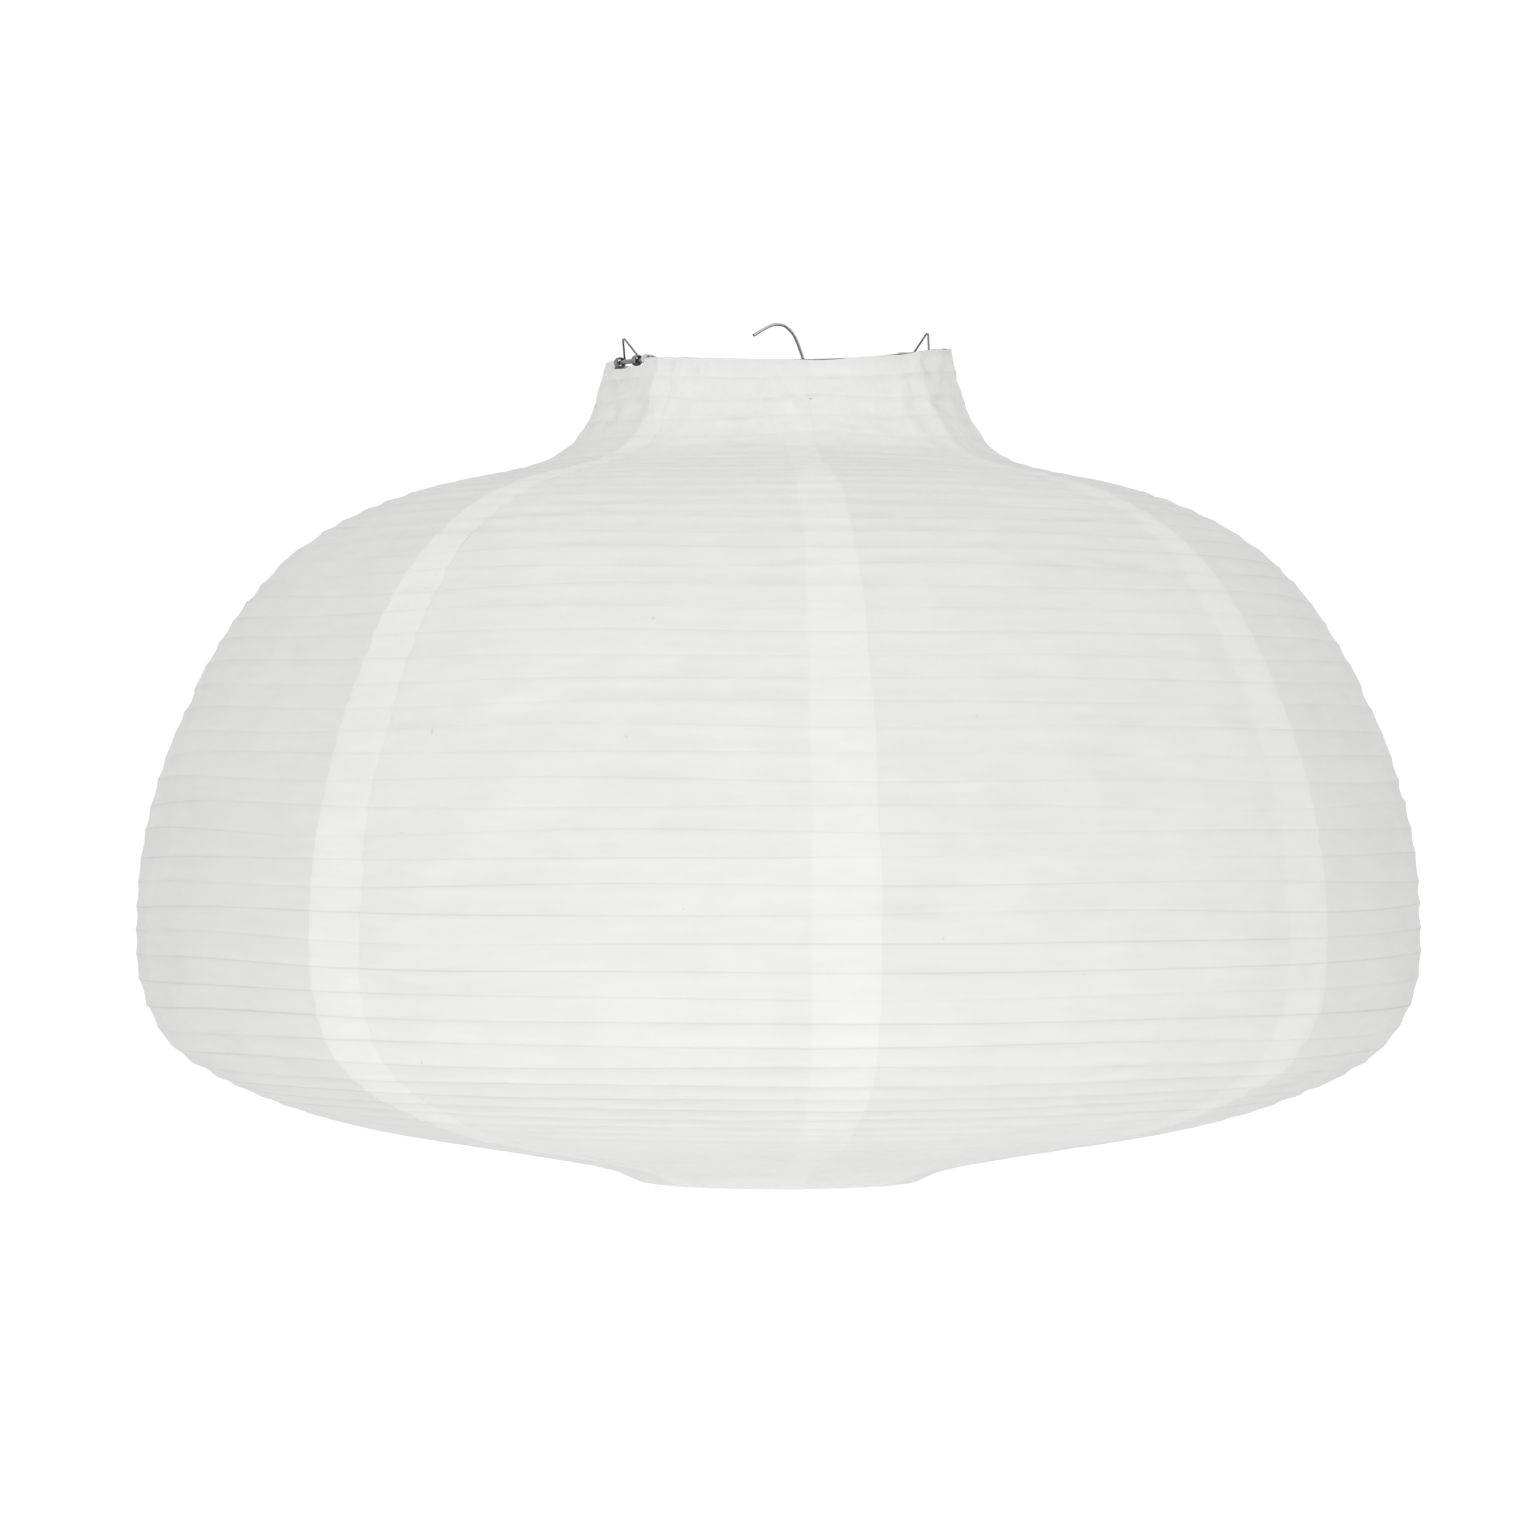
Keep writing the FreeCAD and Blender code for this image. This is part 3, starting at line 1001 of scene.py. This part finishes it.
class HoopSet:
    """All wire hoops, swept by one Geometry Nodes tree."""

    segments = 180
    sides = 8

    def __init__(self, profile: ShadeProfile, size: ShadeSize) -> None:
        """Keeps the sizes and builds the tree.

        Args:
            profile: section curve.
            size: shade sizes.
        """
        self.profile, self.size = profile, size
        self.sockets: Dict[str, str] = {}
        self.tree = self._tree()

    def _tree(self) -> bpy.types.NodeTree:
        """One closed wire per point: its height is the point's, its radius is the point's attribute.

        Returns:
            The node tree.
        """
        tree = bpy.data.node_groups.new("wire_hoops", "GeometryNodeTree")
        face = tree.interface
        face.new_socket("Geometry", in_out="INPUT", socket_type="NodeSocketGeometry")
        for label, kind in (("Wire Radius", "NodeSocketFloat"), ("Segments", "NodeSocketInt"),
                            ("Sides", "NodeSocketInt"), ("Finish", "NodeSocketMaterial")):
            self.sockets[label] = face.new_socket(label, in_out="INPUT", socket_type=kind).identifier
        face.new_socket("Geometry", in_out="OUTPUT", socket_type="NodeSocketGeometry")
        g = NodeGraph(tree)
        source, sink = g.add("NodeGroupInput"), g.add("NodeGroupOutput")
        given = source.outputs
        circle = g.add("GeometryNodeCurvePrimitiveCircle", {"Radius": 1.0, "Resolution": given["Segments"]})
        radius = g.add("GeometryNodeInputNamedAttribute", {"Name": "hoop_radius"}, data_type="FLOAT")
        scale = g.add("ShaderNodeCombineXYZ", {0: radius.outputs[0], 1: radius.outputs[0], 2: 1.0})
        place = g.add("GeometryNodeInstanceOnPoints", {
            "Points": given["Geometry"], "Instance": circle.outputs[0], "Scale": scale.outputs[0]})
        real = g.add("GeometryNodeRealizeInstances", {0: place.outputs[0]})
        section = g.add("GeometryNodeCurvePrimitiveCircle", {
            "Resolution": given["Sides"], "Radius": given["Wire Radius"]})
        sweep = g.add("GeometryNodeCurveToMesh", {
            "Curve": real.outputs[0], "Profile Curve": section.outputs[0]})
        smooth = g.add("GeometryNodeSetShadeSmooth", {0: sweep.outputs[0]})
        finish = g.add("GeometryNodeSetMaterial", {
            "Geometry": smooth.outputs[0], "Material": given["Finish"]})
        g.link(finish.outputs[0], sink.inputs[0])
        return tree

    def _piece(self, name: str, group: Sequence[Tuple[float, float]], material: Material) -> Piece:
        """Sweeps one group of hoops to a plain mesh.

        Args:
            name: object name.
            group: (radius, z) of each hoop in millimetres.
            material: wire finish.

        Returns:
            The mesh object.
        """
        seeds = bpy.data.meshes.new(name + "_points")
        seeds.from_pydata([(0.0, 0.0, z * MM) for _, z in group], [], [])
        layer = seeds.attributes.new("hoop_radius", "FLOAT", "POINT")
        layer.data.foreach_set("value", [r * MM for r, _ in group])
        maker = add_object(name + "_maker", seeds)
        modifier = maker.modifiers.new("hoops", "NODES")
        modifier.node_group = self.tree
        modifier[self.sockets["Wire Radius"]] = self.size.hoop_wire * MM
        modifier[self.sockets["Segments"]] = self.segments
        modifier[self.sockets["Sides"]] = self.sides
        modifier[self.sockets["Finish"]] = material.block
        bpy.context.view_layer.update()
        graph = bpy.context.evaluated_depsgraph_get()
        mesh = bpy.data.meshes.new_from_object(maker.evaluated_get(graph))
        bpy.data.objects.remove(maker)
        mesh.name = name
        return add_object(name, mesh)

    def _lift(self, piece: Piece, s: float) -> None:
        """Tilts a neck hoop with the askew top ring, as the paper round it is.

        Args:
            piece: the swept hoop.
            s: its distance along the paper in millimetres.
        """
        if s < self.size.rise_reach:
            for vertex in piece.data.vertices:
                turn = math.atan2(vertex.co.y, vertex.co.x)
                vertex.co.z += float(self.size.rim_lift(turn, s)) * MM

    def build(self, material: Material) -> List[Piece]:
        """Builds every group of hoops on its own body.

        Args:
            material: wire finish.

        Returns:
            The pieces.
        """
        pieces, count = [], 0
        for group in self.profile.hoop_groups():
            first, count = count + 1, count + len(group)
            node = f"hoop_{first:02d}" if len(group) == 1 else f"hoops_{first:02d}_to_{count:02d}"
            piece = self._piece("wire_" + node, group, material)
            self._lift(piece, float(self.profile.hoop_marks()[first - 1]))
            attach(piece, FRAME["nodes"][node]["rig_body"])
            if len(group) > 1:
                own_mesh(piece)
            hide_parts(node)
            pieces.append(piece)
        return pieces


class WireWork:
    """The rings, ears and frame wires: the frame's own solids with a better finish."""

    finishes: Tuple[Tuple[str, Finish], ...] = (
        ("bottom_ring", Finish.RING),
        ("ear_right", Finish.EAR), ("ear_left", Finish.EAR),
        ("frame_wire_with_hook", Finish.FRAME), ("frame_wire_plain", Finish.FRAME),
    )

    def __init__(self, size: ShadeSize) -> None:
        """Keeps the shade's sizes.

        Args:
            size: shade sizes, for the dip of the top ring.
        """
        self.size = size

    def _top_ring(self, palette: Palette) -> None:
        """Builds the top ring from the frame's, with its dip between the ears.

        Args:
            palette: the lantern's finishes.
        """
        node, size = FRAME["nodes"]["top_ring"], self.size
        build = bmesh.new()
        build.from_mesh(node.data)
        bmesh.ops.remove_doubles(build, verts=build.verts, dist=1e-6)
        for vertex in build.verts:
            turn = math.atan2(vertex.co.y, vertex.co.x)
            dip = float(size.rim_lift(turn, 0.0)) - size.ring_rise * math.cos(turn)
            vertex.co.z += dip * MM
        bmesh.ops.recalc_face_normals(build, faces=build.faces)
        mesh = bpy.data.meshes.new("neck_ring")
        build.to_mesh(mesh)
        build.free()
        shade_smooth(mesh)
        mesh.materials.clear()
        mesh.materials.append(palette.ring.block)
        piece = add_object("neck_ring", mesh)
        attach(piece, node["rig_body"])
        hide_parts("top_ring")

    def dress(self, palette: Palette) -> None:
        """Gives each solid its finish.

        Args:
            palette: the lantern's finishes.
        """
        self._top_ring(palette)
        blocks = {Finish.RING: palette.ring, Finish.EAR: palette.ear, Finish.FRAME: palette.frame}
        for node, finish in self.finishes:
            piece = FRAME["nodes"][node]
            for slot in piece.material_slots:
                slot.material = blocks[finish].block
            shade_smooth(piece.data)


# --- studio
@dataclass(frozen=True)
class Lamp:
    """One soft studio light aimed at the shade's middle."""

    name: str
    place: Tuple[float, float, float]
    size: float
    watts: float


@dataclass(frozen=True)
class CameraPlace:
    """Where the camera stands, in metres and degrees."""

    azimuth_deg: float = -40.0
    distance: float = 2.48
    height: float = -0.2118
    width_seen: float = 0.6885
    sensor: float = 36.0
    shift_x: float = -0.0056
    shift_y: float = 0.0195


@dataclass(frozen=True)
class StudioLook:
    """Brightness of the backdrop, and the floor, in metres.

    Attributes:
        light: strength of the white light from all round.
        seen: strength of the backdrop as the camera sees it.
        aim: point that the lamps are turned to.
    """

    light: float = 0.94
    seen: float = 1.05
    aim: Tuple[float, float, float] = (0.0, 0.0, -0.2)
    floor_size: float = 12.0
    floor_z: float = -3.6
    floor_grey: float = 0.90
    floor_roughness: float = 0.9


class Studio:
    """White backdrop, soft light, floor and camera."""

    look = StudioLook()
    lamps: Tuple[Lamp, ...] = (
        Lamp("front", (-2.3, -2.5, -0.3), 1.8, 21.0),
        Lamp("below", (-0.5, -0.6, -1.42), 1.0, 2.2),
    )

    def __init__(self, camera: CameraPlace) -> None:
        """Keeps the camera's place.

        Args:
            camera: where the camera stands.
        """
        self.place = camera

    def _world(self) -> None:
        """Even white light, with a plain white backdrop behind the object."""
        world = bpy.data.worlds.new("studio")
        bpy.context.scene.world = world
        world.use_nodes = True
        g = NodeGraph(world.node_tree)
        white = (1.0, 1.0, 1.0, 1.0)
        light = next(n for n in world.node_tree.nodes if n.type == "BACKGROUND")
        g.link(white, light.inputs["Color"])
        g.link(self.look.light, light.inputs["Strength"])
        seen = g.add("ShaderNodeBackground", {"Color": white, "Strength": self.look.seen})
        path = g.add("ShaderNodeLightPath")
        mix = g.add("ShaderNodeMixShader", {
            0: path.outputs["Is Camera Ray"], 1: light.outputs[0], 2: seen.outputs[0]})
        out = next(n for n in world.node_tree.nodes if n.type == "OUTPUT_WORLD")
        g.link(mix.outputs[0], out.inputs["Surface"])

    def _floor(self) -> None:
        """A plain pale floor well below the hanging lantern."""
        mesh = bpy.data.meshes.new("floor")
        build = bmesh.new()
        bmesh.ops.create_grid(build, x_segments=4, y_segments=4, size=self.look.floor_size)
        build.to_mesh(mesh)
        build.free()
        floor = add_object("floor", mesh)
        floor.location = (0, 0, self.look.floor_z)
        material = bpy.data.materials.new("pale_floor")
        material.use_nodes = True
        shader = next(n for n in material.node_tree.nodes if n.type == "BSDF_PRINCIPLED")
        shader.inputs["Base Color"].default_value = (*[self.look.floor_grey] * 3, 1)
        shader.inputs["Roughness"].default_value = self.look.floor_roughness
        mesh.materials.append(material)

    def _lights(self) -> None:
        """Large soft lights, turned to the middle of the shade."""
        for lamp in self.lamps:
            data = bpy.data.lights.new(lamp.name, "AREA")
            data.shape, data.size, data.energy = "DISK", lamp.size, lamp.watts
            light = add_object(lamp.name, data)
            light.location = lamp.place
            aim = Vector(self.look.aim) - Vector(lamp.place)
            light.rotation_mode = "QUATERNION"
            light.rotation_quaternion = aim.to_track_quat("-Z", "Y")

    def _camera(self) -> None:
        """A level camera looking at the shade's axis."""
        place = self.place
        data = bpy.data.cameras.new("camera")
        data.sensor_width = place.sensor
        data.lens = place.sensor * place.distance / place.width_seen
        data.shift_x, data.shift_y = place.shift_x, place.shift_y
        camera = add_object("camera", data)
        angle = math.radians(place.azimuth_deg)
        back = Vector((math.sin(angle), -math.cos(angle), 0.0))
        camera.location = back * place.distance + Vector((0, 0, place.height))
        camera.rotation_mode = "QUATERNION"
        camera.rotation_quaternion = (-back).to_track_quat("-Z", "Y")
        bpy.context.scene.camera = camera

    def build(self) -> None:
        """Sets up the whole studio."""
        self._world()
        self._floor()
        self._lights()
        self._camera()
        bpy.context.scene.view_settings.view_transform = View.TRANSFORM.value
        bpy.context.scene.view_settings.look = View.LOOK.value


# --- the whole lantern
class Lantern:
    """Builds every sub-assembly in order."""

    def __init__(self) -> None:
        """Makes the sizes, curve and finishes."""
        self.size = ShadeSize()
        self.profile = ShadeProfile(self.size)
        self.palette = Palette()

    def build(self) -> None:
        """Builds paper, hoops and wires."""
        gores = PaperShade(self.profile, self.size, CreaseSize(), LapSize()).build(self.palette.paper)
        LOG.info("paper: %d gores, %.0f mm along the paper", len(gores), self.profile.length)
        hoops = HoopSet(self.profile, self.size).build(self.palette.hoop)
        LOG.info("hoops: %d pieces", len(hoops))
        WireWork(self.size).dress(self.palette)


def main() -> None:
    """Builds the lantern and the studio."""
    logging.basicConfig(level=logging.INFO, format="%(name)s: %(message)s")
    Lantern().build()
    Studio(CameraPlace()).build()


if __name__ == "__main__":
    main()
